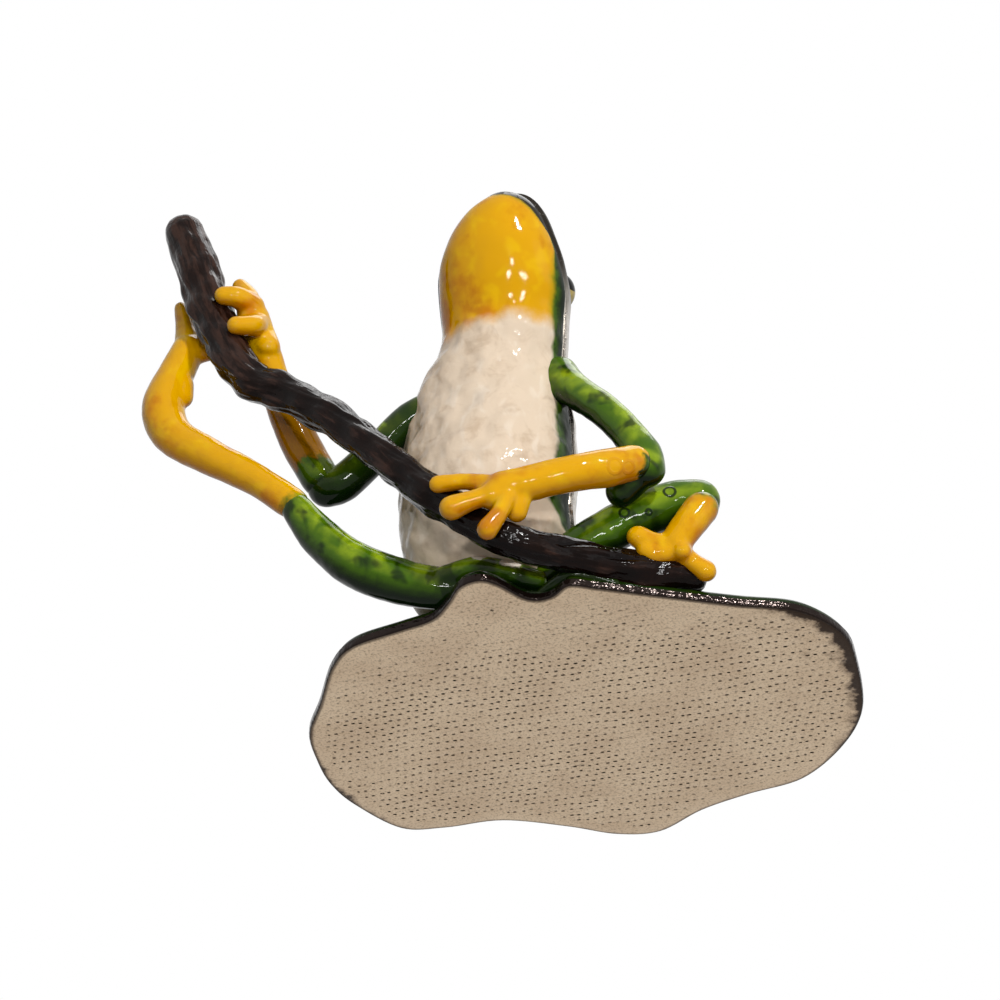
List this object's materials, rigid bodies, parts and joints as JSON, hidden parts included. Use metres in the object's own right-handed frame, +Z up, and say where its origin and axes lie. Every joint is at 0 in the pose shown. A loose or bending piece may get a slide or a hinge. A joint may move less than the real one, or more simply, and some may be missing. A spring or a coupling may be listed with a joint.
{
  "type": "keepsake box",
  "caption": "Enamelled metal keepsake box shaped as a tree frog on a leaf, holding a branch; the frog's back is a hinged, magnet-closed lid.",
  "frame": {"origin": "the leaf's flat underside, below the frog's seat", "axes": "+Z up, square to the underside; the frog faces -Y, the leaf spreads behind it towards +Y, and +X runs to the frog's left along the longest extent"},
  "size_m": [0.0864, 0.0749, 0.0644],
  "materials": {
    "cast_metal": "cast tin alloy, polished on rims and plain on the underside",
    "hinge_metal": "polished drawn metal",
    "magnet_plating": "bright nickel plating",
    "green_enamel": "glossy mottled leaf-green enamel over cast metal",
    "yellow_enamel": "glossy golden-yellow enamel over cast metal",
    "pearl_enamel": "glossy pearl-white enamel over hammered cast metal",
    "bark_enamel": "glossy dark brown enamel over grooved cast metal",
    "eye_enamel": "glossy black enamel with a cream-gold edge"
  },
  "bodies": {
    "frog_on_leaf": {"leaf_base": "cast_metal", "leaf_enamel": "green_enamel", "front_shell": "cast_metal", "throat_enamel": "yellow_enamel", "belly_enamel": "pearl_enamel", "flank_enamel": "green_enamel", "branch": "bark_enamel", "left_upper_arm": "green_enamel", "left_forearm_and_hand": "yellow_enamel", "right_upper_arm": "green_enamel", "right_forearm_and_hand": "yellow_enamel", "left_thigh": "green_enamel", "left_shin_and_foot": "yellow_enamel", "right_thigh": "green_enamel", "right_shin_and_foot": "yellow_enamel", "hinge_body_leaf": "hinge_metal", "hinge_pin": "hinge_metal", "body_magnet": "magnet_plating"},
    "lid": {"back_lid": "cast_metal", "back_enamel": "green_enamel", "left_eye": "eye_enamel", "right_eye": "eye_enamel", "hinge_lid_leaf": "hinge_metal", "lid_magnet": "magnet_plating"}
  },
  "joints": [
    {"name": "lid_hinge", "type": "hinge", "parent": "frog_on_leaf", "child": "lid", "pos_m": [-0.0013, 0.01221, 0.0111], "axis": [-1, 0, 0], "range_deg": [0, 116]}
  ]
}
